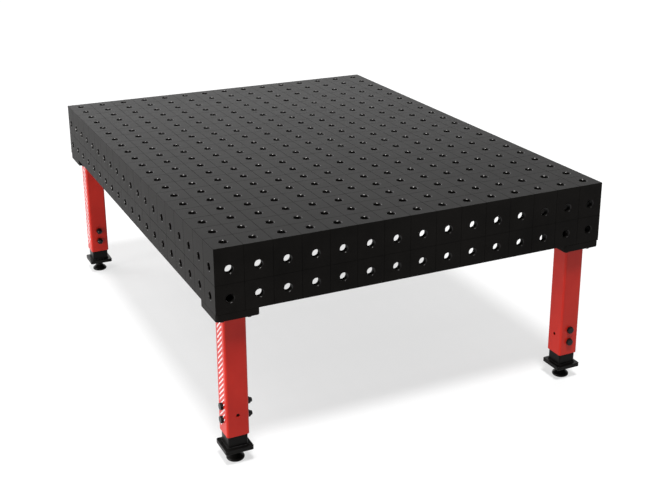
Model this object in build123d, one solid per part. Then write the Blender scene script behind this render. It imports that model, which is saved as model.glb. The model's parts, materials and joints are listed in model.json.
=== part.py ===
from build123d import *
import math
import os

# Welding table: a perforated steel box on four telescopic legs with levelling feet.
# Millimetres. +X runs across the 1500 mm width, +Y along the 2000 mm length, +Z up.
# The origin is on the floor, under the middle of the table.

# Driving dimensions of the table box
WIDTH = 1500.0
LENGTH = 2000.0
HEIGHT = 800.0
GRID = 100.0
BORE_RADIUS = 14.0
BORE_CHAMFER = 2.0
TOP_THICKNESS = 25.0
SIDE_THICKNESS = 20.0
SIDE_DEPTH = 200.0
UPPER_ROW_DROP = 75.0
LOWER_ROW_DROP = 175.0
EDGE_CHAMFER = 1.0

# Stiffening ribs under the top, placed on grid lines so that no bore is covered
RIB_THICKNESS = 12.0
RIB_DEPTH = 120.0
RIB_CORNER = 20.0
CROSS_RIB_Y = (-600.0, -200.0, 200.0, 600.0)
LONG_RIB_X = (-250.0, 250.0)
HALF_LAP_GAP = 0.5

# Leg flanges and the plates inside the box that they bolt to
FLANGE_SIDE = 150.0
FLANGE_THICKNESS = 25.0
FLANGE_CORNER = 10.0
PLATE_CHAMFER = 1.0
CORNER_PLATE_THICKNESS = 20.0
FLANGE_SCREW_OFFSET = 47.0
FLANGE_SCREW_RADIUS = 6.0
FLANGE_HOLE_RADIUS = 6.75
FLANGE_SCREW_HEAD_RADIUS = 9.0
FLANGE_SCREW_HEAD_HEIGHT = 12.0
FLANGE_SCREW_KEY = 10.0
FLANGE_SCREW_ENGAGEMENT = 18.0

# Outer leg tube
OUTER_SIDE = 80.0
OUTER_CORNER = 8.0
OUTER_WALL = 4.0
OUTER_BOTTOM = 105.0
TUBE_END_CHAMFER = 0.8
SPARE_HOLE_RADIUS = 6.5
SPARE_HOLE_Z = 183.0

# Inner leg tube, which telescopes down out of the outer tube
INNER_SIDE = 70.0
INNER_CORNER = 6.0
INNER_WALL = 5.0
INNER_TOP = 450.0
LEG_TRAVEL = 150.0

# Clamp bolts through both tubes: M16 hexagon bolts and self-locking nuts
BOLT_RADIUS = 8.0
BOLT_LENGTH = 104.0
BOLT_HOLE_RADIUS = 8.5
BOLT_LEVELS = (158.0, 208.0)
BOLT_HEAD_FLATS = 24.0
BOLT_HEAD_HEIGHT = 10.0
NUT_FLATS = 24.0
NUT_HEIGHT = 14.8
NUT_COLLAR_RADIUS = 11.0
NUT_COLLAR_HEIGHT = 4.2
SLOT_CLEARANCE = 0.5

# Foot: base plate, threaded stud, lock nut and swivel pad
BASE_SIDE = 100.0
BASE_CORNER = 7.0
BASE_THICKNESS = 15.0
BASE_TOP = 62.0
STUD_RADIUS = 10.0
STUD_HOLE_CLEARANCE = 0.05
STUD_BOTTOM = 12.0
STUD_TOP = 110.0
STUD_SLOT = 3.0
STUD_SEAT_GAP = 0.3
LOCK_NUT_FLATS = 30.0
LOCK_NUT_HEIGHT = 10.0
PAD_RADIUS = 31.5
PAD_SOLE_RADIUS = 26.0
PAD_RIM_HEIGHT = 13.0
PAD_NECK_RADIUS = 15.0
PAD_HEIGHT = 30.0

# Worked out from the driving dimensions
TOP_UNDERSIDE = HEIGHT - TOP_THICKNESS
BOX_BOTTOM = TOP_UNDERSIDE - SIDE_DEPTH
FLANGE_BOTTOM = BOX_BOTTOM - FLANGE_THICKNESS
BASE_BOTTOM = BASE_TOP - BASE_THICKNESS
INNER_SPACE = OUTER_SIDE - 2 * OUTER_WALL
LEG_X = WIDTH / 2 - FLANGE_SIDE / 2
LEG_Y = LENGTH / 2 - FLANGE_SIDE / 2
COLUMNS = int(WIDTH / GRID)
ROWS = int(LENGTH / GRID)
UPPER_ROW_Z = HEIGHT - UPPER_ROW_DROP
LOWER_ROW_Z = HEIGHT - LOWER_ROW_DROP

# Leg name, side in X, side in Y, and the direction of its clamp bolts.
# The bolts turn by a quarter from each leg to the next one round the table.
LEGS = (
    ("front_left", -1, -1, "X"),
    ("front_right", 1, -1, "Y"),
    ("back_right", 1, 1, "X"),
    ("back_left", -1, 1, "Y"),
)

os.makedirs("parts", exist_ok=True)


def save(shape, node):
    """Write one sub-part."""
    export_step(shape, f"parts/{node}.step")


def grid_line(count):
    """Places of the bores along one direction, centred on the table."""
    return [(i - (count - 1) / 2) * GRID for i in range(count)]


def block(low, high):
    """A box between two corners."""
    size = [b - a for a, b in zip(low, high)]
    middle = [(a + b) / 2 for a, b in zip(low, high)]
    return Pos(*middle) * Box(*size)


def rod(radius, start, end, direction="Z", at=(0.0, 0.0)):
    """A round bar along X, Y or Z; at gives its place across that direction."""
    bar = Cylinder(radius, end - start)
    middle = (start + end) / 2
    if direction == "X":
        return Pos(middle, at[0], at[1]) * Rot(0, 90, 0) * bar
    if direction == "Y":
        return Pos(at[0], middle, at[1]) * Rot(90, 0, 0) * bar
    return Pos(at[0], at[1], middle) * bar


def square_bar(side, corner, bottom, top):
    """An upright square bar with rounded corners."""
    outline = RectangleRounded(side, side, corner)
    return Pos(0, 0, bottom) * extrude(outline, top - bottom)


def deburred(shape, size, ends=(0, -1)):
    """Chamfer the edges of a bar's bottom face (0), its top face (-1) or both."""
    for end in ends:
        shape = chamfer(shape.faces().sort_by(Axis.Z)[end].edges(), size)
    return shape


def shank(radius, length):
    """A round bar from its chamfered tip at z = -length up to z = 0."""
    bar = Pos(0, 0, -length) * extrude(Circle(radius), length)
    return deburred(bar, 1.2, ends=(0,))


def socket_screw(radius, length, head_radius, head_height, key):
    """A socket-head screw along +Z: the seat of its head is at z = 0, its tip at -length."""
    head = deburred(extrude(Circle(head_radius), head_height), 1.0, ends=(-1,))
    recess = extrude(RegularPolygon(key / math.sqrt(3), 6), head_height / 2)
    return head + shank(radius, length) - Pos(0, 0, head_height / 2) * recess


def hexagon(flats, height):
    """A hexagonal prism with its outer end face chamfered to a circle."""
    corner_radius = flats / math.sqrt(3)
    prism = extrude(RegularPolygon(corner_radius, 6), height)
    drop = (corner_radius - flats / 2 * 0.96) * math.tan(math.radians(30))
    profile = make_face(
        Polyline(
            (0, 0),
            (corner_radius + 1, 0),
            (corner_radius + 1, height - drop - math.tan(math.radians(30))),
            (flats / 2 * 0.96, height),
            (0, height),
            close=True,
        )
    )
    envelope = revolve(Plane.XZ * profile, Axis.Z)
    return prism & envelope


def perforated_slab(width, length, thickness, points):
    """A flat plate with its upper face at z = 0, drilled and countersunk at each point."""
    slab = Pos(0, 0, -thickness / 2) * Box(width, length, thickness)
    bore = Cylinder(BORE_RADIUS, thickness + 2)
    mouth = Cone(BORE_RADIUS, BORE_RADIUS + 2 * BORE_CHAMFER, 2 * BORE_CHAMFER)
    cutters = [Pos(x, y, -thickness / 2) * bore for x, y in points]
    cutters += [Pos(x, y, 0) * mouth for x, y in points]
    return slab - cutters


def top_plate():
    points = [(x, y) for x in grid_line(COLUMNS) for y in grid_line(ROWS)]
    slab = perforated_slab(WIDTH, LENGTH, TOP_THICKNESS, points)
    return Pos(0, 0, HEIGHT) * slab


def side_plate(width, count):
    """A side plate lying face up, its length along X and its two bore rows along Y."""
    middle = TOP_UNDERSIDE - SIDE_DEPTH / 2
    levels = (UPPER_ROW_Z - middle, LOWER_ROW_Z - middle)
    points = [(x, level) for x in grid_line(count) for level in levels]
    return perforated_slab(width, SIDE_DEPTH, SIDE_THICKNESS, points)


def side_plates():
    middle = TOP_UNDERSIDE - SIDE_DEPTH / 2
    between = LENGTH - 2 * SIDE_THICKNESS
    across = side_plate(WIDTH, COLUMNS)
    along = side_plate(between, ROWS)
    upright = Rot(90, 0, 0)
    return {
        "front_side_plate": Pos(0, -LENGTH / 2, middle) * upright * across,
        "back_side_plate": Pos(0, LENGTH / 2, middle) * Rot(0, 0, 180) * upright * across,
        "right_side_plate": Pos(WIDTH / 2, 0, middle) * Rot(0, 0, 90) * upright * along,
        "left_side_plate": Pos(-WIDTH / 2, 0, middle) * Rot(0, 0, -90) * upright * along,
    }


def rib_blank(reach, thickness):
    """A rib along X under the top plate, with its lower corners cut away."""
    half = reach / 2
    low = TOP_UNDERSIDE - RIB_DEPTH
    outline = Polyline(
        (-half, TOP_UNDERSIDE),
        (-half, low + RIB_CORNER),
        (-half + RIB_CORNER, low),
        (half - RIB_CORNER, low),
        (half, low + RIB_CORNER),
        (half, TOP_UNDERSIDE),
        close=True,
    )
    return extrude(Plane.XZ * make_face(outline), thickness / 2, both=True)


def cross_rib(y):
    """A rib from side to side, slotted from below where the long ribs cross it."""
    rib = Pos(0, y, 0) * rib_blank(WIDTH - 2 * SIDE_THICKNESS, RIB_THICKNESS)
    half_slot = RIB_THICKNESS / 2 + HALF_LAP_GAP / 2
    low = TOP_UNDERSIDE - RIB_DEPTH
    for x in LONG_RIB_X:
        slot_low = (x - half_slot, y - RIB_THICKNESS, low - 1)
        slot_high = (x + half_slot, y + RIB_THICKNESS, low + RIB_DEPTH / 2)
        rib -= block(slot_low, slot_high)
    return rib


def long_rib(x):
    """A rib along the table between the outer cross ribs, slotted from above at each one."""
    reach = CROSS_RIB_Y[-1] - CROSS_RIB_Y[0] + 2 * GRID
    rib = Pos(x, 0, 0) * Rot(0, 0, 90) * rib_blank(reach, RIB_THICKNESS)
    half_slot = RIB_THICKNESS / 2 + HALF_LAP_GAP / 2
    slot_floor = TOP_UNDERSIDE - RIB_DEPTH / 2 - HALF_LAP_GAP
    for y in CROSS_RIB_Y:
        slot_low = (x - RIB_THICKNESS, y - half_slot, slot_floor)
        slot_high = (x + RIB_THICKNESS, y + half_slot, TOP_UNDERSIDE + 1)
        rib -= block(slot_low, slot_high)
    return rib


def screw_places():
    """The four flange screws about a leg's centre line."""
    offsets = (-FLANGE_SCREW_OFFSET, FLANGE_SCREW_OFFSET)
    return [(x, y) for x in offsets for y in offsets]


def corner_plate(side_x, side_y):
    """The tapped plate welded into a corner of the box, which the leg's screws go into."""
    reach = FLANGE_SIDE / 2
    wall = reach - SIDE_THICKNESS
    xs = sorted((side_x * wall, -side_x * reach))
    ys = sorted((side_y * wall, -side_y * reach))
    top = BOX_BOTTOM + CORNER_PLATE_THICKNESS
    plate = block((xs[0], ys[0], BOX_BOTTOM), (xs[1], ys[1], top))
    for x, y in screw_places():
        plate -= rod(FLANGE_SCREW_RADIUS, BOX_BOTTOM - 1, top + 1, "Z", (x, y))
    return plate


def leg_flange():
    """The square plate that is welded to the top of the outer tube."""
    plate = square_bar(FLANGE_SIDE, FLANGE_CORNER, FLANGE_BOTTOM, BOX_BOTTOM)
    plate = deburred(plate, PLATE_CHAMFER)
    for x, y in screw_places():
        plate -= rod(FLANGE_HOLE_RADIUS, FLANGE_BOTTOM - 1, BOX_BOTTOM + 1, "Z", (x, y))
    return plate


def flange_screw():
    """A socket-head screw, head down, from below the flange into the corner plate."""
    screw = socket_screw(
        FLANGE_SCREW_RADIUS,
        FLANGE_THICKNESS + FLANGE_SCREW_ENGAGEMENT,
        FLANGE_SCREW_HEAD_RADIUS,
        FLANGE_SCREW_HEAD_HEIGHT,
        FLANGE_SCREW_KEY,
    )
    return Pos(0, 0, FLANGE_BOTTOM) * Rot(180, 0, 0) * screw


def outer_tube(direction):
    """The painted square tube, with clamp bolt holes one way and a spare hole the other way."""
    tube = square_bar(OUTER_SIDE, OUTER_CORNER, OUTER_BOTTOM, FLANGE_BOTTOM)
    tube = deburred(tube, TUBE_END_CHAMFER, ends=(0,))
    hollow_corner = OUTER_CORNER - OUTER_WALL
    tube -= square_bar(INNER_SPACE, hollow_corner, OUTER_BOTTOM - 1, FLANGE_BOTTOM + 1)
    for level in BOLT_LEVELS:
        tube -= rod(BOLT_HOLE_RADIUS, -OUTER_SIDE, OUTER_SIDE, direction, (0, level))
    across = "Y" if direction == "X" else "X"
    tube -= rod(SPARE_HOLE_RADIUS, -OUTER_SIDE, OUTER_SIDE, across, (0, SPARE_HOLE_Z))
    return tube


def inner_tube(direction):
    """The sliding tube. Its slots let it travel down past the clamp bolts."""
    tube = square_bar(INNER_SIDE, INNER_CORNER, BASE_TOP, INNER_TOP)
    space = INNER_SIDE - 2 * INNER_WALL
    tube -= square_bar(space, INNER_CORNER / 2, BASE_TOP - 1, INNER_TOP + 1)
    radius = BOLT_RADIUS + SLOT_CLEARANCE
    low = BOLT_LEVELS[0]
    high = BOLT_LEVELS[-1] + LEG_TRAVEL
    outline = SlotCenterToCenter(high - low, 2 * radius)
    slot = extrude(Plane.XZ * (Rot(0, 0, 90) * outline), INNER_SIDE, both=True)
    turn = Rot(0, 0, 90) if direction == "X" else Rot(0, 0, 0)
    return tube - Pos(0, 0, (low + high) / 2) * turn * slot


def base_plate():
    """The plate welded under the inner tube, tapped for the levelling stud."""
    plate = square_bar(BASE_SIDE, BASE_CORNER, BASE_BOTTOM, BASE_TOP)
    plate = deburred(plate, PLATE_CHAMFER)
    thread = STUD_RADIUS + STUD_HOLE_CLEARANCE
    return plate - rod(thread, BASE_BOTTOM - 1, BASE_TOP + 1)


def foot_stud():
    """The levelling screw. It turns in the pad's socket and has a driver slot at its top."""
    stud = rod(STUD_RADIUS, STUD_BOTTOM, STUD_TOP)
    stud = chamfer(stud.faces().sort_by(Axis.Z)[-1].edges(), 1.5)
    slot_low = (-STUD_RADIUS - 1, -STUD_SLOT / 2, STUD_TOP - STUD_SLOT)
    slot_high = (STUD_RADIUS + 1, STUD_SLOT / 2, STUD_TOP + 1)
    return stud - block(slot_low, slot_high)


def lock_nut():
    """The nut that locks the stud, seated on the base plate inside the tube."""
    nut = hexagon(LOCK_NUT_FLATS, LOCK_NUT_HEIGHT)
    nut -= Cylinder(STUD_RADIUS + STUD_HOLE_CLEARANCE, 3 * LOCK_NUT_HEIGHT)
    return Pos(0, 0, BASE_TOP) * nut


def foot_pad():
    """The round pad: a flat sole, a rounded rim and a shoulder that rises to the stud."""
    rim_bottom = 4.0
    profile = Polyline((0, 0), (PAD_SOLE_RADIUS, 0))
    side = ThreePointArc(
        (PAD_SOLE_RADIUS, 0),
        (PAD_RADIUS - 1.4, rim_bottom - 1.2),
        (PAD_RADIUS, PAD_RIM_HEIGHT / 2),
    )
    rim = ThreePointArc(
        (PAD_RADIUS, PAD_RIM_HEIGHT / 2),
        (PAD_RADIUS - 1.0, PAD_RIM_HEIGHT - 2.5),
        (PAD_RADIUS - 3.5, PAD_RIM_HEIGHT),
    )
    shoulder = Polyline(
        (PAD_RADIUS - 3.5, PAD_RIM_HEIGHT),
        (PAD_NECK_RADIUS, PAD_HEIGHT - 5),
        (PAD_NECK_RADIUS, PAD_HEIGHT),
        (0, PAD_HEIGHT),
        (0, 0),
    )
    outline = make_face(profile + side + rim + shoulder)
    pad = revolve(Plane.XZ * outline, Axis.Z)
    socket_radius = STUD_RADIUS + STUD_HOLE_CLEARANCE
    return pad - rod(socket_radius, STUD_BOTTOM - STUD_SEAT_GAP, PAD_HEIGHT + 1)


def along(direction, shape, start):
    """Stand a fastener that was modelled along +Z on the plane at start, along X or Y."""
    if direction == "X":
        return Pos(start, 0, 0) * Rot(0, 90, 0) * shape
    return Pos(0, start, 0) * Rot(-90, 0, 0) * shape


def clamp_fasteners(direction, outward):
    """Bolts and nuts of one leg. The heads are on the outward side."""
    face = OUTER_SIDE / 2
    bolt = hexagon(BOLT_HEAD_FLATS, BOLT_HEAD_HEIGHT) + shank(BOLT_RADIUS, BOLT_LENGTH)
    collar = extrude(Circle(NUT_COLLAR_RADIUS), NUT_HEIGHT + NUT_COLLAR_HEIGHT)
    collar = deburred(collar, 2.0, ends=(-1,))
    nut = hexagon(NUT_FLATS, NUT_HEIGHT) + collar
    nut -= Cylinder(BOLT_RADIUS, 4 * NUT_HEIGHT)
    outward_turn = Rot(0, 0, 0) if outward > 0 else Rot(0, 0, 180)
    nut_turn = outward_turn * Rot(0, 0, 180)
    bolts = [Pos(0, 0, z) * outward_turn * along(direction, bolt, face) for z in BOLT_LEVELS]
    nuts = [Pos(0, 0, z) * nut_turn * along(direction, nut, face) for z in BOLT_LEVELS]
    return bolts, nuts


def build_box():
    save(top_plate(), "top_plate")
    for node, plate in side_plates().items():
        save(plate, node)
    for number, y in enumerate(CROSS_RIB_Y, start=1):
        save(cross_rib(y), f"cross_rib_{number}")
    for side, x in zip(("left", "right"), LONG_RIB_X):
        save(long_rib(x), f"long_rib_{side}")


def build_leg(name, side_x, side_y, direction):
    place = Pos(side_x * LEG_X, side_y * LEG_Y, 0)
    outward = side_x if direction == "X" else side_y
    bolts, nuts = clamp_fasteners(direction, outward)
    screws = [Pos(x, y, 0) * flange_screw() for x, y in screw_places()]
    pieces = {
        "corner_plate": corner_plate(side_x, side_y),
        "leg_flange": leg_flange(),
        "flange_screws": Compound(children=screws),
        "outer_tube": outer_tube(direction),
        "clamp_bolts": Compound(children=bolts),
        "clamp_nuts": Compound(children=nuts),
        "inner_tube": inner_tube(direction),
        "base_plate": base_plate(),
        "lock_nut": lock_nut(),
        "foot_stud": foot_stud(),
        "foot_pad": foot_pad(),
    }
    for piece, shape in pieces.items():
        save(place * shape, f"{piece}_{name}")


build_box()
for leg in LEGS:
    build_leg(*leg)
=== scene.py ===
# %% [markdown]
# # A perforated welding table
# A welding table is a heavy steel box on four legs. Its top and sides carry a square grid of
# 28 mm bores, so that clamps and stops can be put anywhere. This lesson loads the finished
# engineering model as a fixed frame and gives it its looks: fine round bores, scribed grid lines,
# nitrided steel, red and black powder coat, threads and weld beads.

# %% Load the frame
import json
import math

import bmesh
import bpy
from mathutils import Matrix, Vector

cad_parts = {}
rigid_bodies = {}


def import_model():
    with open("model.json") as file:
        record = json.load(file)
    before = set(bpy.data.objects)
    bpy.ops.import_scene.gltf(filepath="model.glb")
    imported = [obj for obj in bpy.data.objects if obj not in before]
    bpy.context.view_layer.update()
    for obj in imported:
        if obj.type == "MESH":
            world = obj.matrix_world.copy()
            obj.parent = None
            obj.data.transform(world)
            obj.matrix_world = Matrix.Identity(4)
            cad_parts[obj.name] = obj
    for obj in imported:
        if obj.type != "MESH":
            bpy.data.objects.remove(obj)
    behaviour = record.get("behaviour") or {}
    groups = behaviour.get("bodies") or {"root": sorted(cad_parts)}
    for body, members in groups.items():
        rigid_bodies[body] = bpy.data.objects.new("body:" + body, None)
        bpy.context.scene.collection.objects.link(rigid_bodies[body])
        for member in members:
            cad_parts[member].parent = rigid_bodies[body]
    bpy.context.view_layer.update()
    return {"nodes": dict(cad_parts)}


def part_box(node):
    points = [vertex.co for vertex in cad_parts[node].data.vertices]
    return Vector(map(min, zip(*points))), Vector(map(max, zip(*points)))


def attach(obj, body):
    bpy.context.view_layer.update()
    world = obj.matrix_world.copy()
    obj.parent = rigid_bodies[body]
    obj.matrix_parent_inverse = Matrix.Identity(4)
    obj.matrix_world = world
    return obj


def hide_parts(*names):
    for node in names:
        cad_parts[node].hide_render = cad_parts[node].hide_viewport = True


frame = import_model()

nodes = frame["nodes"]

# %% [markdown]
# The leg names are listed and the main sizes are read from the frame, so every later cell can place
# its work on the real table. The grid is the one size that all parts of the box share: 100 mm, with
# the bores in the middle of each square.

# %% Leg names, and sizes from the frame
LEGS = ("front_left", "front_right", "back_right", "back_left")
MM = 0.001
GRID = 100 * MM
BORE_RADIUS = 14 * MM
BORE_CHAMFER = 2 * MM

top_low, top_high = (Vector(corner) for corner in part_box("top_plate"))
side_low, side_high = (Vector(corner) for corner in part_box("front_side_plate"))
WIDTH = top_high.x - top_low.x
LENGTH = top_high.y - top_low.y
HEIGHT = top_high.z
TOP_THICKNESS = top_high.z - top_low.z
SIDE_THICKNESS = side_high.y - side_low.y
BOX_BOTTOM = side_low.z
COLUMNS = round(WIDTH / GRID)
ROWS = round(LENGTH / GRID)
print("top", WIDTH, LENGTH, "height", HEIGHT, "grid", COLUMNS, ROWS)

# %% [markdown]
# ## Camera
# The camera stands in front and to the left, a little higher than a standing person's eyes, and
# looks down on the top. A long lens keeps the box's edges calm. The small shift moves the frame
# without tilting the camera.

# %% Camera
CAMERA_PLACE = (-1.7715, -4.0234, 2.0624)
SENSOR_WIDTH = 36.0
CAMERA_AZIMUTH = 26.14
CAMERA_ELEVATION = -18.385
CAMERA_LENS = 61.04
CAMERA_SHIFT = (-0.0346, -0.1002)

camera_data = bpy.data.cameras.new("Camera")
camera_data.sensor_width = SENSOR_WIDTH
camera_data.lens = CAMERA_LENS
camera_data.shift_x, camera_data.shift_y = CAMERA_SHIFT
camera_data.dof.use_dof = False
camera = bpy.data.objects.new("Camera", camera_data)
camera.location = CAMERA_PLACE
camera.rotation_euler = (math.radians(90 + CAMERA_ELEVATION), 0, math.radians(-CAMERA_AZIMUTH))
bpy.context.collection.objects.link(camera)
bpy.context.scene.camera = camera
print("camera", CAMERA_PLACE, "lens", CAMERA_LENS)

# %% [markdown]
# ## Writing shader maths as Python
# A material is a tree of nodes. Long trees are hard to read as a list of links, so this small
# class wraps one output socket. Adding, subtracting, multiplying or dividing two of them adds the
# Math node that does it, and `node` adds any other kind of node.

# %% The socket class
class Wire:
    """One output socket of a material's node tree."""

    def __init__(self, tree, socket):
        self.tree = tree
        self.socket = socket

    def node(self, kind, settings=None, output=0, **sockets):
        """Add a node: its settings first, then a value or a wire for each named socket."""
        made = self.tree.nodes.new(kind)
        for name, value in (settings or {}).items():
            setattr(made, name, value)
        for name, value in sockets.items():
            plug(self.tree, made, name, value)
        return Wire(self.tree, made.outputs[output])

    def math(self, operation, *values):
        made = self.tree.nodes.new("ShaderNodeMath")
        made.operation = operation
        for place, value in enumerate((self,) + values):
            plug(self.tree, made, place, value)
        return Wire(self.tree, made.outputs[0])

    def __add__(self, other):
        return self.math("ADD", other)

    def __mul__(self, other):
        return self.math("MULTIPLY", other)

    def __sub__(self, other):
        return self.math("SUBTRACT", other)

    def __truediv__(self, other):
        return self.math("DIVIDE", other)

    def __rsub__(self, other):
        return (self * -1.0) + other

    __radd__ = __add__
    __rmul__ = __mul__


def plug(tree, made, name, value):
    """Join a wire to a socket, or set the socket's own value."""
    if isinstance(name, str):
        name = name.replace("_", " ")
    socket = made.inputs[name]
    if isinstance(value, Wire):
        tree.links.new(value.socket, socket)
    else:
        socket.default_value = value


def smooth_step(value, low, high):
    """0 below low, 1 above high, and a smooth curve between."""
    made = value.node("ShaderNodeMapRange", {"interpolation_type": "SMOOTHSTEP"}, Value=value)
    tree_node = made.socket.node
    tree_node.inputs["From Min"].default_value = low
    tree_node.inputs["From Max"].default_value = high
    return made


def mix_colour(factor, first, second):
    """Blend two colours; each is a wire or a colour."""
    made = factor.tree.nodes.new("ShaderNodeMix")
    made.data_type = "RGBA"
    plug(factor.tree, made, 0, factor)
    plug(factor.tree, made, 6, first)
    plug(factor.tree, made, 7, second)
    return Wire(factor.tree, made.outputs[2])


def start_material(name, **constants):
    """A material with its shader's constants set. Returns it, its shader and its coordinates."""
    material = bpy.data.materials.new(name)
    material.use_nodes = True
    tree = material.node_tree
    shader = tree.nodes["Principled BSDF"]
    for socket, value in constants.items():
        shader.inputs[socket.replace("_", " ")].default_value = value
    coordinates = tree.nodes.new("ShaderNodeTexCoord")
    return material, shader, Wire(tree, coordinates.outputs["Object"])


def noise(place, scale, detail=3.0, roughness=0.5):
    return place.node(
        "ShaderNodeTexNoise", Vector=place, Scale=scale, Detail=detail, Roughness=roughness
    )


def bump(height, strength, distance):
    return height.node("ShaderNodeBump", Height=height, Strength=strength, Distance=distance)


def axis_of(place, axis):
    """The x, y or z of a place."""
    return place.node("ShaderNodeSeparateXYZ", output="xyz".index(axis), Vector=place)


print("shader helpers ready")

# %% [markdown]
# ## Nitrided steel
# The plates are ground, scribed by a laser and then nitrided, which leaves a hard dark skin. It
# scatters little light of its own and mostly mirrors the room softly, more so at a flat angle. A
# plain dark shader with a low index of refraction does just that. The fine scribed lines fall on
# the grid, so they are worked out from the place alone: the distance to the nearest grid line is
# the same sum on the top and on the sides.

# %% Scribed lines
LINE_HALF_WIDTH = 0.8 * MM
MIDDLE_LINE = BOX_BOTTOM + GRID
ONE_LINE_ONLY = 10.0


def distance_to_lines(value, offset, pitch):
    """Distance to the nearest of many lines, offset being the place of one of them."""
    steps = (value - offset) / pitch
    return (steps - steps.math("ROUND")).math("ABSOLUTE") * pitch


def scribed(place, axes):
    """1 on the scribed lines of the two axes given, 0 elsewhere."""
    offsets = {"x": (GRID / 2, GRID), "y": (0.0, GRID), "z": (MIDDLE_LINE, ONE_LINE_ONLY)}
    nearest = None
    for axis in axes:
        offset, pitch = offsets[axis]
        away = distance_to_lines(axis_of(place, axis), offset, pitch)
        nearest = away if nearest is None else nearest.math("MINIMUM", away)
    return 1 - smooth_step(nearest, LINE_HALF_WIDTH * 0.5, LINE_HALF_WIDTH * 1.4)


print("scribed lines", LINE_HALF_WIDTH * 2, "m wide, the sides' own line at", MIDDLE_LINE)

# %% The steel itself
STEEL_DARK = (0.0042, 0.0038, 0.0035, 1)
STEEL_LIGHT = (0.0074, 0.0067, 0.0061, 1)
STEEL_LINE = (0.0012, 0.0012, 0.0011, 1)
STEEL_IOR = 1.095
STEEL_ROUGHNESS = 0.33
CLOUD_SCALE = 2.2
SMEAR_SCALE = 14.0
GRAIN_SCALE = 900.0
LINE_ROUGHNESS = 0.8
LINE_IOR = 1.06
LINE_COVER = 0.85


def steel(name, axes):
    """Nitrided steel, scribed along the two axes given, or plain where axes is empty."""
    material, shader, place = start_material(name, IOR=STEEL_IOR, Metallic=0.0)
    tree = place.tree
    clouds = noise(place, CLOUD_SCALE, 4.0, 0.55)
    grain = noise(place, GRAIN_SCALE, 2.0, 0.6)
    smears = noise(place, SMEAR_SCALE, 5.0, 0.65)
    tone = smooth_step(clouds * 0.6 + smears * 0.4, 0.32, 0.68)
    plug(tree, shader, "Base Color", mix_colour(tone, STEEL_DARK, STEEL_LIGHT))
    plug(tree, shader, "Roughness", STEEL_ROUGHNESS + smears * 0.08 + grain * 0.05)
    plug(tree, shader, "Normal", bump(grain, 0.12, 0.0002))
    if axes:
        burnt = tree.nodes.new("ShaderNodeBsdfPrincipled")
        burnt.inputs["Roughness"].default_value = LINE_ROUGHNESS
        burnt.inputs["IOR"].default_value = LINE_IOR
        plug(tree, burnt, "Base Color", mix_colour(grain, STEEL_LINE, STEEL_DARK))
        both = tree.nodes.new("ShaderNodeMixShader")
        plug(tree, both, 0, scribed(place, axes) * LINE_COVER)
        plug(tree, both, 1, Wire(tree, shader.outputs[0]))
        plug(tree, both, 2, Wire(tree, burnt.outputs[0]))
        plug(tree, tree.nodes["Material Output"], "Surface", Wire(tree, both.outputs[0]))
    return material


steel_top = steel("steel_top", "xy")
steel_across = steel("steel_across", "xz")
steel_along = steel("steel_along", "yz")
steel_plain = steel("steel_plain", "")
print("steel", [m.name for m in (steel_top, steel_across, steel_along, steel_plain)])

# %% [markdown]
# The chamfer at the mouth of each bore is where clamps and bolts rub every day. The dark skin wears
# thin there and the metal under it shows, so each bore catches a small glint. A metallic shader of
# its own gives that, and only the chamfer's faces get it.

# %% The bore chamfers
BARE_ROUGHNESS = 0.25
BARE_DARK = (0.019, 0.0185, 0.018, 1)
BARE_LIGHT = (0.029, 0.028, 0.0275, 1)


def bare_steel(name):
    """The chamfer of a bore, where handling has worn the nitride down to dark bare metal."""
    material, shader, place = start_material(name, Metallic=1.0)
    tree = place.tree
    turned = noise(place, 700.0, 2.0, 0.5)
    worn = smooth_step(noise(place, 40.0), 0.35, 0.65)
    plug(tree, shader, "Base Color", mix_colour(worn, BARE_DARK, BARE_LIGHT))
    plug(tree, shader, "Roughness", turned * 0.10 + BARE_ROUGHNESS)
    plug(tree, shader, "Normal", bump(turned, 0.1, 0.0001))
    return material


bore_edge = bare_steel("bore_edge")
print("chamfer finish", bore_edge.name)

# %% [markdown]
# ## Powder coat
# Powder coat is sprayed on dry and baked. It flows into a skin with a very fine orange peel, which
# a low noise in the bump gives. The colour drifts slightly, and dust makes it a touch rougher.

# %% Powder coats
DRIFT_SCALE = 7.0
DUST_SCALE = 60.0
PEEL_SCALE = 420.0
DUST_ROUGHNESS = 0.14


def powder_coat(name, deep, bright, rough_level, ior):
    material, shader, place = start_material(name, IOR=ior)
    tree = place.tree
    drift = noise(place, DRIFT_SCALE, 3.0)
    peel = noise(place, PEEL_SCALE, 2.0, 0.45)
    dust = noise(place, DUST_SCALE, 4.0, 0.6)
    plug(tree, shader, "Base Color", mix_colour(smooth_step(drift, 0.3, 0.7), deep, bright))
    plug(tree, shader, "Roughness", dust * DUST_ROUGHNESS + rough_level)
    plug(tree, shader, "Normal", bump(peel, 0.18, 0.0003))
    return material


red_paint = powder_coat(
    "red_paint", (0.36, 0.0105, 0.0050, 1), (0.42, 0.0150, 0.0076, 1), 0.26, 1.27
)
black_paint = powder_coat(
    "black_paint", (0.0027, 0.0024, 0.0023, 1), (0.0047, 0.0043, 0.0040, 1), 0.27, 1.17
)
white_vinyl = powder_coat("white_vinyl", (0.50, 0.42, 0.43, 1), (0.57, 0.48, 0.49, 1), 0.34, 1.26)
black_oxide = powder_coat(
    "black_oxide", (0.003, 0.003, 0.003, 1), (0.007, 0.007, 0.007, 1), 0.24, 1.25
)
print("paints", [m.name for m in (red_paint, black_paint, white_vinyl, black_oxide)])
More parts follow.
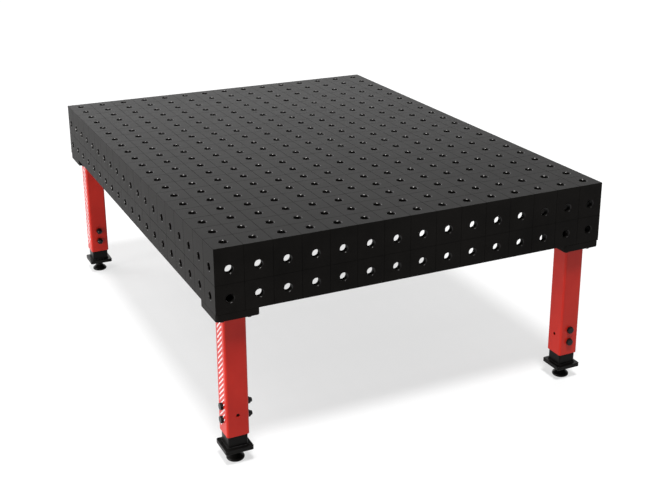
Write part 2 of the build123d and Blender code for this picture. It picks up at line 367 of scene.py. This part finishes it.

# %% [markdown]
# ## Plates as repeated tiles
# Every plate of the box is the same square tile over and over: a bore with a chamfered mouth in
# the middle, and half of a scribed groove along each side. One tile is modelled, and a
# Geometry Nodes tree repeats it on a grid and welds the seams. The tree has named inputs, so the
# top and the four sides are one tree with different numbers.

# %% One tile
BORE_SIDES = 32
GROOVE_HALF = 0.6 * MM
GROOVE_DEPTH = 0.35 * MM
BORE_MARK = "chamfer"


def ring(bm, points):
    return [bm.verts.new(point) for point in points]


def square_ring(bm, half, z):
    """Eight points round a square: the middles of its sides and its corners."""
    steps = ((1, 0), (1, 1), (0, 1), (-1, 1), (-1, 0), (-1, -1), (0, -1), (1, -1))
    return ring(bm, [(x * half, y * half, z) for x, y in steps])


def round_ring(bm, radius, z):
    turns = [math.tau * i / BORE_SIDES for i in range(BORE_SIDES)]
    return ring(bm, [(radius * math.cos(a), radius * math.sin(a), z) for a in turns])


def join_equal(bm, outer, inner):
    """Quads between two rings with as many points each."""
    count = len(outer)
    for i in range(count):
        j = (i + 1) % count
        bm.faces.new((outer[i], outer[j], inner[j], inner[i]))


def join_square_to_round(bm, square, circle, up):
    """One face from each stretch of a square ring to the arc of a round one beside it."""
    count = len(square)
    share = BORE_SIDES // count
    for i in range(count):
        arc = [circle[(i * share + k) % BORE_SIDES] for k in range(share + 1)]
        face = [square[i], square[(i + 1) % count]] + arc[::-1]
        bm.faces.new(face if up else face[::-1])


def tile_mesh(name, thickness):
    """A square of plate with one bore. Its outer skin is at z = 0 and its sides are open."""
    bm = bmesh.new()
    groove = square_ring(bm, GRID / 2, -GROOVE_DEPTH)
    skin = square_ring(bm, GRID / 2 - GROOVE_HALF, 0)
    mouth = round_ring(bm, BORE_RADIUS + BORE_CHAMFER, 0)
    wall_top = round_ring(bm, BORE_RADIUS, -BORE_CHAMFER)
    wall_bottom = round_ring(bm, BORE_RADIUS, -thickness)
    back = square_ring(bm, GRID / 2, -thickness)
    join_equal(bm, groove, skin)
    join_square_to_round(bm, skin, mouth, up=True)
    chamfer_start = len(bm.faces)
    join_equal(bm, mouth, wall_top)
    chamfer_end = len(bm.faces)
    join_equal(bm, wall_top, wall_bottom)
    join_square_to_round(bm, back, wall_bottom, up=False)
    mesh = bpy.data.meshes.new(name)
    bm.to_mesh(mesh)
    bm.free()
    marks = mesh.attributes.new(BORE_MARK, "BOOLEAN", "FACE")
    for i in range(chamfer_start, chamfer_end):
        marks.data[i].value = True
    print(name, "faces", len(mesh.polygons))
    return mesh


# %% [markdown]
# The tree below takes the tile as its geometry, makes a grid of points and puts the tile on each
# one. Merge by Distance welds neighbours, so two half grooves become one. It ends in Realize
# Instances and Set Material, which gives a plain mesh that can leave Blender.

# %% The tree that repeats a tile
WELD_DISTANCE = 0.01 * MM


class Tree:
    """A Geometry Nodes tree under construction."""

    def __init__(self, name, inputs):
        self.tree = bpy.data.node_groups.new(name, "GeometryNodeTree")
        face = self.tree.interface
        face.new_socket("Geometry", in_out="OUTPUT", socket_type="NodeSocketGeometry")
        face.new_socket("Geometry", in_out="INPUT", socket_type="NodeSocketGeometry")
        self.ids = {}
        for label, kind in inputs.items():
            made = face.new_socket(label, in_out="INPUT", socket_type="NodeSocket" + kind)
            self.ids[label] = made.identifier
        self.entry = self.tree.nodes.new("NodeGroupInput")
        self.exit = self.tree.nodes.new("NodeGroupOutput")

    def given(self, label):
        return self.entry.outputs[label]

    def add(self, kind, output=0, settings=None, **sockets):
        made = self.tree.nodes.new("GeometryNode" + kind if "Node" not in kind else kind)
        for name, value in (settings or {}).items():
            setattr(made, name, value)
        for name, value in sockets.items():
            socket = made.inputs[name.replace("_", " ")]
            if isinstance(value, bpy.types.NodeSocket):
                self.tree.links.new(value, socket)
            else:
                socket.default_value = value
        return made.outputs[output]

    def math(self, operation, first, second=0.0):
        made = self.tree.nodes.new("ShaderNodeMath")
        made.operation = operation
        for place, value in enumerate((first, second)):
            if isinstance(value, bpy.types.NodeSocket):
                self.tree.links.new(value, made.inputs[place])
            else:
                made.inputs[place].default_value = value
        return made.outputs[0]

    def join(self, *parts):
        made = self.tree.nodes.new("GeometryNodeJoinGeometry")
        for part in parts:
            self.tree.links.new(part, made.inputs[0])
        return made.outputs[0]

    def finish(self, geometry):
        """End in Realize Instances and Set Material. Marked faces get the second material."""
        plain = self.add("RealizeInstances", Geometry=geometry)
        painted = self.add("SetMaterial", Geometry=plain, Material=self.given("Material"))
        if "Mark Material" in self.ids:
            mark = self.add("InputNamedAttribute", settings={"data_type": "BOOLEAN"}, Name=BORE_MARK)
            painted = self.add(
                "SetMaterial", Geometry=painted, Selection=mark,
                Material=self.given("Mark Material"),
            )
        self.tree.links.new(painted, self.exit.inputs["Geometry"])
        return self


def run_tree(tree, name, mesh, **values):
    """Run a tree on a mesh with these inputs and return the result as a plain object."""
    source = bpy.data.objects.new(name + "_source", mesh)
    bpy.context.collection.objects.link(source)
    modifier = source.modifiers.new("nodes", "NODES")
    modifier.node_group = tree.tree
    for label, value in values.items():
        modifier[tree.ids[label.replace("_", " ")]] = value
    bpy.context.view_layer.update()
    graph = bpy.context.evaluated_depsgraph_get()
    result = bpy.data.meshes.new_from_object(source.evaluated_get(graph), depsgraph=graph)
    result.name = name
    source.modifiers.remove(modifier)
    bpy.data.objects.remove(source)
    piece = bpy.data.objects.new(name, result)
    bpy.context.collection.objects.link(piece)
    return piece


def tile_tree():
    tree = Tree(
        "Repeat_Tile",
        {
            "Columns": "Int", "Rows": "Int", "Pitch": "Float",
            "Material": "Material", "Mark Material": "Material",
        },
    )
    pitch = tree.given("Pitch")
    across = tree.math("MULTIPLY", tree.math("SUBTRACT", tree.given("Columns"), 1.0), pitch)
    along = tree.math("MULTIPLY", tree.math("SUBTRACT", tree.given("Rows"), 1.0), pitch)
    grid = tree.add(
        "MeshGrid", Size_X=across, Size_Y=along,
        Vertices_X=tree.given("Columns"), Vertices_Y=tree.given("Rows"),
    )
    points = tree.add("MeshToPoints", Mesh=grid)
    tiles = tree.add("InstanceOnPoints", Points=points, Instance=tree.given("Geometry"))
    plain = tree.add("RealizeInstances", Geometry=tiles)
    welded = tree.add("MergeByDistance", Geometry=plain, Distance=WELD_DISTANCE)
    return tree.finish(welded)


repeat_tile = tile_tree()
print("tree", repeat_tile.tree.name, list(repeat_tile.ids))

# %% [markdown]
# ## Closing a plate
# The repeated tiles are two skins joined by the bores, still open round the outside. The rim of
# the outer skin is drawn in to the middle of a small chamfer, and the rim of the inner skin moves
# in by the thickness of the neighbour, so that the plates meet in mitres and no seam shows on the
# ground faces. Bridging the two rims closes the plate.

# %% Close, place and finish a plate
SHARP_ANGLE = math.radians(25)
NEAR = 0.1 * MM


def rim(bm):
    return [edge for edge in bm.edges if len(edge.link_faces) == 1]


def close_plate(piece, half_x, half_y, raise_top, draw_in):
    """Shape both rims and bridge them. draw_in gives the mitre at the left and right, the
    bottom and the top; raise_top is how far the outer skin's upper rim goes up."""
    bm = bmesh.new()
    bm.from_mesh(piece.data)
    ends, bottom, top = draw_in
    middle = GROOVE_HALF / 2
    for vert in {v for edge in rim(bm) for v in edge.verts}:
        x, y = vert.co.x, vert.co.y
        outer = vert.co.z > -2 * GROOVE_DEPTH
        if abs(abs(x) - half_x) < NEAR:
            vert.co.x = math.copysign(half_x - (middle if outer else ends), x)
        if abs(y - half_y) < NEAR:
            vert.co.y = half_y + raise_top - middle if outer else half_y - top
        if abs(y + half_y) < NEAR:
            vert.co.y = -half_y + (middle if outer else bottom)
        if outer:
            vert.co.z = -middle
    for vert in bm.verts:
        on_upper_skin = vert.co.z > -middle and abs(vert.co.y - half_y + GROOVE_HALF) < NEAR
        if raise_top and on_upper_skin:
            vert.co.y += raise_top
    bmesh.ops.bridge_loops(bm, edges=rim(bm))
    bmesh.ops.recalc_face_normals(bm, faces=bm.faces)
    bm.to_mesh(piece.data)
    bm.free()


def finish_mesh(piece, angle=SHARP_ANGLE):
    """Smooth shading with sharp edges where the surface turns by more than the angle."""
    for polygon in piece.data.polygons:
        polygon.use_smooth = True
    piece.data.set_sharp_from_angle(angle=angle)
    open_edges = count_open_edges(piece.data)
    print(piece.name, "faces", len(piece.data.polygons), "open edges", open_edges)


def count_open_edges(mesh):
    bm = bmesh.new()
    bm.from_mesh(mesh)
    count = sum(1 for edge in bm.edges if len(edge.link_faces) != 2)
    bm.free()
    return count


print("edges stay sharp above", round(math.degrees(SHARP_ANGLE)), "degrees")

# %% The top plate
top_piece = run_tree(
    repeat_tile, "table_top", tile_mesh("top_tile", TOP_THICKNESS),
    Columns=COLUMNS, Rows=ROWS, Pitch=GRID, Material=steel_top, Mark_Material=bore_edge,
)
close_plate(
    top_piece, WIDTH / 2, LENGTH / 2, 0.0, (SIDE_THICKNESS, SIDE_THICKNESS, SIDE_THICKNESS)
)
top_piece.data.transform(Matrix.Translation((0, 0, HEIGHT)))
finish_mesh(top_piece)
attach(top_piece, "table")
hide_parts("top_plate")

# %% [markdown]
# The side plates are two rows of tiles, stood upright. Their outer skin goes up past the top
# plate's edge to the table's upper corner, which is where the mitre with the top plate ends.

# %% The four side plates
SIDE_MIDDLE = BOX_BOTTOM + GRID


def side_piece(name, columns, material, turn, place):
    piece = run_tree(
        repeat_tile, name, tile_mesh(name + "_tile", SIDE_THICKNESS),
        Columns=columns, Rows=2, Pitch=GRID, Material=material, Mark_Material=bore_edge,
    )
    close_plate(piece, columns * GRID / 2, GRID, TOP_THICKNESS, (SIDE_THICKNESS, 0.0, 0.0))
    stand = Matrix.Rotation(math.radians(90), 4, "X")
    spin = Matrix.Rotation(math.radians(turn), 4, "Z")
    piece.data.transform(Matrix.Translation(place) @ spin @ stand)
    finish_mesh(piece)
    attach(piece, "table")
    return piece


sides = (
    ("front_side", COLUMNS, steel_across, 0, (0, -LENGTH / 2, SIDE_MIDDLE)),
    ("back_side", COLUMNS, steel_across, 180, (0, LENGTH / 2, SIDE_MIDDLE)),
    ("right_side", ROWS, steel_along, 90, (WIDTH / 2, 0, SIDE_MIDDLE)),
    ("left_side", ROWS, steel_along, -90, (-WIDTH / 2, 0, SIDE_MIDDLE)),
)
for name, columns, material, turn, place in sides:
    piece = side_piece(name, columns, material, turn, place)
    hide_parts(name + "_plate")

# %% [markdown]
# ## Finishes for the remaining parts
# Tubes, flanges, ribs, plates and fasteners keep their engineering shape, which is already right.
# They only need their finish, chosen by the first words of the part's name.

# %% Finishes by part name
finishes = {
    "cross_rib": steel_plain,
    "long_rib": steel_plain,
    "corner_plate": steel_plain,
    "leg_flange": steel_plain,
    "outer_tube": red_paint,
    "inner_tube": black_paint,
    "base_plate": black_paint,
    "foot_pad": black_paint,
    "lock_nut": black_oxide,
    "flange_screws": black_oxide,
    "clamp_": black_oxide,
}
for node_name, node_object in nodes.items():
    for start, finish in finishes.items():
        if node_name.startswith(start):
            node_object.data.materials.clear()
            node_object.data.materials.append(finish)
print("finished nodes", sum(n.startswith(tuple(finishes)) for n in nodes))

# %% [markdown]
# ## White stripes on the legs
# Each leg's outer face carries cut vinyl. Here it is a plain row of slanted bars. One bar is a
# thin slanted plate, and a second tree repeats it up the leg.

# %% The stripe tree
BAR_HALF_WIDTH = 22 * MM
BAR_HALF_HEIGHT = 3.5 * MM
BAR_RISE = 20 * MM
BAR_PITCH = 19 * MM
BAR_THICKNESS = 0.2 * MM


def bar_mesh():
    """A slanted bar in the YZ plane, facing +X."""
    bm = bmesh.new()
    outline = []
    for side, level in ((-1, -1), (1, -1), (1, 1), (-1, 1)):
        outline.append((0, side * BAR_HALF_WIDTH, level * BAR_HALF_HEIGHT + side * BAR_RISE))
    back = ring(bm, outline)
    front = ring(bm, [(BAR_THICKNESS, y, z) for x, y, z in outline])
    bm.faces.new(front)
    bm.faces.new(back[::-1])
    join_equal(bm, back, front)
    bmesh.ops.recalc_face_normals(bm, faces=bm.faces)
    mesh = bpy.data.meshes.new("bar")
    bm.to_mesh(mesh)
    bm.free()
    return mesh


def stripe_tree():
    tree = Tree("Stripe_Column", {"Count": "Int", "Pitch": "Float", "Material": "Material"})
    step = tree.add("ShaderNodeCombineXYZ", Z=tree.given("Pitch"))
    line = tree.add("MeshLine", Count=tree.given("Count"), Offset=step)
    bars = tree.add("InstanceOnPoints", Points=line, Instance=tree.given("Geometry"))
    return tree.finish(bars)


stripes = stripe_tree()
print("tree", stripes.tree.name, list(stripes.ids))

# %% Put the stripes on the outer faces
STRIPE_BOTTOM = 148 * MM
STRIPE_COUNT = 20
for leg in LEGS:
    low, high = (Vector(corner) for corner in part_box("outer_tube_" + leg))
    side = 1 if leg.endswith("right") else -1
    face_x = high.x if side > 0 else low.x
    piece = run_tree(
        stripes, "leg_stripes_" + leg, bar_mesh(),
        Count=STRIPE_COUNT, Pitch=BAR_PITCH, Material=white_vinyl,
    )
    turn = Matrix.Rotation(0 if side > 0 else math.pi, 4, "Z")
    middle_y = (low.y + high.y) / 2
    piece.data.transform(Matrix.Translation((face_x, middle_y, STRIPE_BOTTOM)) @ turn)
    finish_mesh(piece)
    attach(piece, "table")

# %% [markdown]
# ## Weld beads
# Each outer tube is welded to its flange and each inner tube to its base plate, all the way round.
# A weld bead is a row of ripples left by the moving pool. One tree sweeps a small circle round a
# square with rounded corners and lets its thickness rise and drop with every ripple; a noise with
# a seed keeps the hand of the welder in it.

# %% The bead tree
BEAD_RADIUS = 3.0 * MM
BEAD_SHIFT = 0.6 * MM
RIPPLE = 2.6 * MM
RIPPLE_SAMPLES = 4
RIPPLE_DROP = 0.22
THINNEST = 0.75
SWELL = 0.5
SWELL_SCALE = 55.0
BEAD_SIDES = 10
BEND_STEPS = 6
BEAD_SHARP_ANGLE = math.radians(75)


def bead_tree():
    tree = Tree(
        "Weld_Bead",
        {
            "Side": "Float", "Corner": "Float", "Radius": "Float", "Ripple": "Float",
            "Seed": "Float", "Material": "Material",
        },
    )
    side = tree.given("Side")
    square = tree.add("CurvePrimitiveQuadrilateral", Width=side, Height=side)
    rounded = tree.add(
        "FilletCurve", settings={"mode": "POLY"}, Curve=square, Count=BEND_STEPS,
        Radius=tree.given("Corner"), Limit_Radius=True,
    )
    step = tree.math("DIVIDE", tree.given("Ripple"), float(RIPPLE_SAMPLES))
    path = tree.add("ResampleCurve", settings={"mode": "LENGTH"}, Curve=rounded, Length=step)
    travelled = tree.add("SplineParameter", output=1)
    phase = tree.math("FRACT", tree.math("DIVIDE", travelled, tree.given("Ripple")))
    wander = tree.add(
        "ShaderNodeTexNoise", settings={"noise_dimensions": "4D"},
        W=tree.given("Seed"), Scale=SWELL_SCALE, Detail=2.0,
    )
    ripple = tree.math("SUBTRACT", 1.0, tree.math("MULTIPLY", phase, RIPPLE_DROP))
    swell = tree.math("ADD", THINNEST, tree.math("MULTIPLY", wander, SWELL))
    section = tree.add("CurvePrimitiveCircle", Resolution=BEAD_SIDES, Radius=tree.given("Radius"))
    bead = tree.add(
        "CurveToMesh", Curve=path, Profile_Curve=section, Scale=tree.math("MULTIPLY", ripple, swell)
    )
    return tree.finish(bead)


weld_bead = bead_tree()
print("tree", weld_bead.tree.name, list(weld_bead.ids))


# %% One bead
def corner_bead(name, tube, level, corner, seed, finish, body):
    """A bead round the tube at the height given."""
    low, high = (Vector(place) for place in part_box(tube))
    piece = run_tree(
        weld_bead, name, bpy.data.meshes.new(name + "_start"),
        Side=(high.x - low.x) + 2 * BEAD_SHIFT, Corner=corner + BEAD_SHIFT, Radius=BEAD_RADIUS,
        Ripple=RIPPLE, Seed=seed, Material=finish,
    )
    middle = (low + high) / 2
    piece.data.transform(Matrix.Translation((middle.x, middle.y, level)))
    finish_mesh(piece, BEAD_SHARP_ANGLE)
    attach(piece, body)


# %% Beads on every leg
OUTER_CORNER = 8 * MM
INNER_CORNER = 6 * MM
FLANGE_SEED = 10.0
PLATE_SEED = 20.0
for number, leg in enumerate(LEGS):
    flange_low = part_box("leg_flange_" + leg)[0][2]
    plate_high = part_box("base_plate_" + leg)[1][2]
    corner_bead(
        "flange_bead_" + leg, "outer_tube_" + leg, flange_low - BEAD_SHIFT, OUTER_CORNER,
        FLANGE_SEED + number, red_paint, "table",
    )
    corner_bead(
        "base_bead_" + leg, "inner_tube_" + leg, plate_high + BEAD_SHIFT, INNER_CORNER,
        PLATE_SEED + number, black_paint, "inner_leg_" + leg,
    )

# %% [markdown]
# ## Screw threads
# The levelling studs and the ends of the clamp bolts show their threads. A thread is a helix, so
# one tree sweeps a small diamond along a spiral and joins it to a plain core. Half of the diamond
# sinks into the core and the other half is the thread.

# %% The thread tree
TURN_STEPS = 20
CORE_SIDES = 32


def thread_tree():
    tree = Tree(
        "Screw_Thread",
        {
            "Crest Radius": "Float", "Depth": "Float", "Pitch": "Float", "Length": "Float",
            "Material": "Material",
        },
    )
    middle = tree.math("SUBTRACT", tree.given("Crest Radius"), tree.given("Depth"))
    turns = tree.math("DIVIDE", tree.given("Length"), tree.given("Pitch"))
    helix = tree.add(
        "CurveSpiral", Resolution=TURN_STEPS, Rotations=turns, Start_Radius=middle, End_Radius=middle,
        Height=tree.given("Length"),
    )
    level = tree.add("SetCurveNormal", settings={"mode": "Z_UP"}, Curve=helix)
    diamond = tree.add("CurvePrimitiveCircle", Resolution=4, Radius=tree.given("Depth"))
    ridge = tree.add("CurveToMesh", Curve=level, Profile_Curve=diamond, Fill_Caps=True)
    return tree.finish(tree.join(tree.given("Geometry"), ridge))


screw_thread = thread_tree()
print("tree", screw_thread.tree.name, list(screw_thread.ids))


# %% The core of a thread
def core_mesh(name, radius, bottom, top, bevel):
    """An upright round bar with a bevel at its upper end."""
    bm = bmesh.new()
    turns = [math.tau * i / CORE_SIDES for i in range(CORE_SIDES)]
    rings = []
    for r, z in ((radius, bottom), (radius, top - bevel), (radius - bevel, top)):
        rings.append(ring(bm, [(r * math.cos(a), r * math.sin(a), z) for a in turns]))
    for lower, upper in zip(rings, rings[1:]):
        join_equal(bm, lower, upper)
    bm.faces.new(rings[0][::-1])
    bm.faces.new(rings[-1])
    bmesh.ops.recalc_face_normals(bm, faces=bm.faces)
    mesh = bpy.data.meshes.new(name)
    bm.to_mesh(mesh)
    bm.free()
    return mesh


# %% Levelling studs
STUD_PITCH = 2.5 * MM
STUD_DEPTH = 1.1 * MM
END_GAP = 1.5 * MM
for leg in LEGS:
    low, high = (Vector(corner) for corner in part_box("foot_stud_" + leg))
    radius = (high.x - low.x) / 2
    length = high.z - low.z
    core = core_mesh("stud_core_" + leg, radius - STUD_DEPTH, 0, length, END_GAP)
    core.transform(Matrix.Translation((0, 0, -END_GAP)))
    piece = run_tree(
        screw_thread, "stud_thread_" + leg, core, Crest_Radius=radius, Depth=STUD_DEPTH,
        Pitch=STUD_PITCH, Length=length - 2 * END_GAP, Material=black_oxide,
    )
    middle = (low + high) / 2
    piece.data.transform(Matrix.Translation((middle.x, middle.y, low.z + END_GAP)))
    finish_mesh(piece)
    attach(piece, "stud_" + leg)
    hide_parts("foot_stud_" + leg)

# %% Ends of the clamp bolts
BOLT_PITCH = 2.0 * MM
BOLT_DEPTH = 0.7 * MM
BOLT_RIDGE = 0.3 * MM
BOLT_END_GAP = 0.5 * MM
BOLT_SHANK = 8 * MM
BOLT_CORE = 7.8 * MM
BOLT_HALF_SPACING = 25 * MM
for leg in LEGS:
    bolt_low, bolt_high = (Vector(corner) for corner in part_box("clamp_bolts_" + leg))
    nut_low, nut_high = (Vector(corner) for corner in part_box("clamp_nuts_" + leg))
    extent = bolt_high - bolt_low
    axis = 0 if extent.x > extent.y else 1
    upward_end = (nut_low + nut_high)[axis] > (bolt_low + bolt_high)[axis]
    start, tip = (nut_high, bolt_high) if upward_end else (nut_low, bolt_low)
    reach = abs(tip[axis] - start[axis]) - 2 * BOLT_END_GAP
    quarter = Matrix.Rotation(math.radians(90), 4, "Y" if axis == 0 else "X")
    flip = Matrix.Rotation(0 if upward_end == (axis == 0) else math.pi, 4, "Z")
    middle = (bolt_low + bolt_high) / 2
    for place, drop in (("lower", BOLT_HALF_SPACING), ("upper", -BOLT_HALF_SPACING)):
        core = core_mesh("tail_core", BOLT_CORE, 0, reach, BOLT_END_GAP)
        piece = run_tree(
            screw_thread, f"bolt_thread_{leg}_{place}", core,
            Crest_Radius=BOLT_SHANK + BOLT_RIDGE, Depth=BOLT_DEPTH, Pitch=BOLT_PITCH,
            Length=reach, Material=black_oxide,
        )
        at = Vector((middle.x, middle.y, middle.z - drop))
        at[axis] = start[axis]
        piece.data.transform(Matrix.Translation(at) @ flip @ quarter)
        finish_mesh(piece)
        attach(piece, "table")

# %% [markdown]
# ## Floor and light
# A plain pale floor carries the table. It glows a little, so that the shadow under the table stays
# a light grey. The key light stands high and slightly in front, so the shadow has the outline of
# the table top. A low lamp at the left lights the left sides, a smaller one at the back left puts
# a glint on the bore chamfers, and each wall of the studio has its own brightness.

# %% Floor
FLOOR_SIZE = 60.0
FLOOR_GREY = (0.31, 0.31, 0.31, 1)
FLOOR_GLOW = 0.625

floor_mesh = bpy.data.meshes.new("floor")
half = FLOOR_SIZE / 2
floor_mesh.from_pydata(
    [(-half, -half, 0), (half, -half, 0), (half, half, 0), (-half, half, 0)], [], [(0, 1, 2, 3)]
)
floor = bpy.data.objects.new("floor", floor_mesh)
bpy.context.collection.objects.link(floor)
floor_material, floor_shader = start_material("floor_white", Roughness=1.0)[:2]
floor_shader.inputs["Base Color"].default_value = FLOOR_GREY
floor_shader.inputs["Specular IOR Level"].default_value = 0.0
floor_shader.inputs["Emission Color"].default_value = (1, 1, 1, 1)
floor_shader.inputs["Emission Strength"].default_value = FLOOR_GLOW
floor_mesh.materials.append(floor_material)
print("floor", FLOOR_SIZE, "m square, glow", FLOOR_GLOW)

# %% Room light
ROOM = {"left": 0.8, "right": 0.25, "front": 0.05, "back": 2.55, "above": 0.08}

world = bpy.data.worlds.new("Studio")
bpy.context.scene.world = world
world.use_nodes = True
room_tree = world.node_tree
direction = Wire(room_tree, room_tree.nodes.new("ShaderNodeTexCoord").outputs["Generated"])
sideways = axis_of(direction, "x")
inward = axis_of(direction, "y")
upward = axis_of(direction, "z")
walls = {
    "left": sideways.math("MINIMUM", 0.0),
    "right": sideways.math("MAXIMUM", 0.0),
    "front": inward.math("MINIMUM", 0.0),
    "back": inward.math("MAXIMUM", 0.0),
    "above": upward.math("MAXIMUM", 0.0),
}
glow = sum(share * share * ROOM[wall] for wall, share in walls.items())
plug(room_tree, room_tree.nodes["Background"], "Strength", glow)
plug(room_tree, room_tree.nodes["Background"], "Color", (1, 1, 1, 1))
print("room light", ROOM)


# %% Lamps
KEY_DIRECTION = (-0.12, -0.33, 1.0)
KEY_SPREAD = 12
KEY_STRENGTH = 3.3


def soft_lamp(name, place, aim, size, watts):
    """A large square lamp that faces the point given."""
    lamp = bpy.data.lights.new(name, "AREA")
    lamp.shape = "SQUARE"
    lamp.size = size
    lamp.energy = watts
    lamp_object = bpy.data.objects.new(name, lamp)
    direction = Vector(aim) - Vector(place)
    turn = direction.to_track_quat("-Z", "Y").to_matrix().to_4x4()
    lamp_object.matrix_world = Matrix.Translation(place) @ turn
    bpy.context.collection.objects.link(lamp_object)


def key_sun(name, direction, spread, strength):
    """A far, soft light that shines from the direction given."""
    lamp = bpy.data.lights.new(name, "SUN")
    lamp.angle = math.radians(spread)
    lamp.energy = strength
    sun = bpy.data.objects.new(name, lamp)
    sun.rotation_euler = Vector(direction).to_track_quat("Z", "Y").to_euler()
    bpy.context.collection.objects.link(sun)


key_sun("lamp_key", KEY_DIRECTION, KEY_SPREAD, KEY_STRENGTH)
soft_lamp("lamp_left", (-7.0, -0.5, 0.8), (0, 0, 0.6), 1.5, 440)
soft_lamp("lamp_back_left", (-2.6, 2.6, 4.0), (0, 0, 0.6), 1.6, 45)
bpy.context.scene.view_settings.view_transform = "Standard"
print("view transform", bpy.context.scene.view_settings.view_transform)
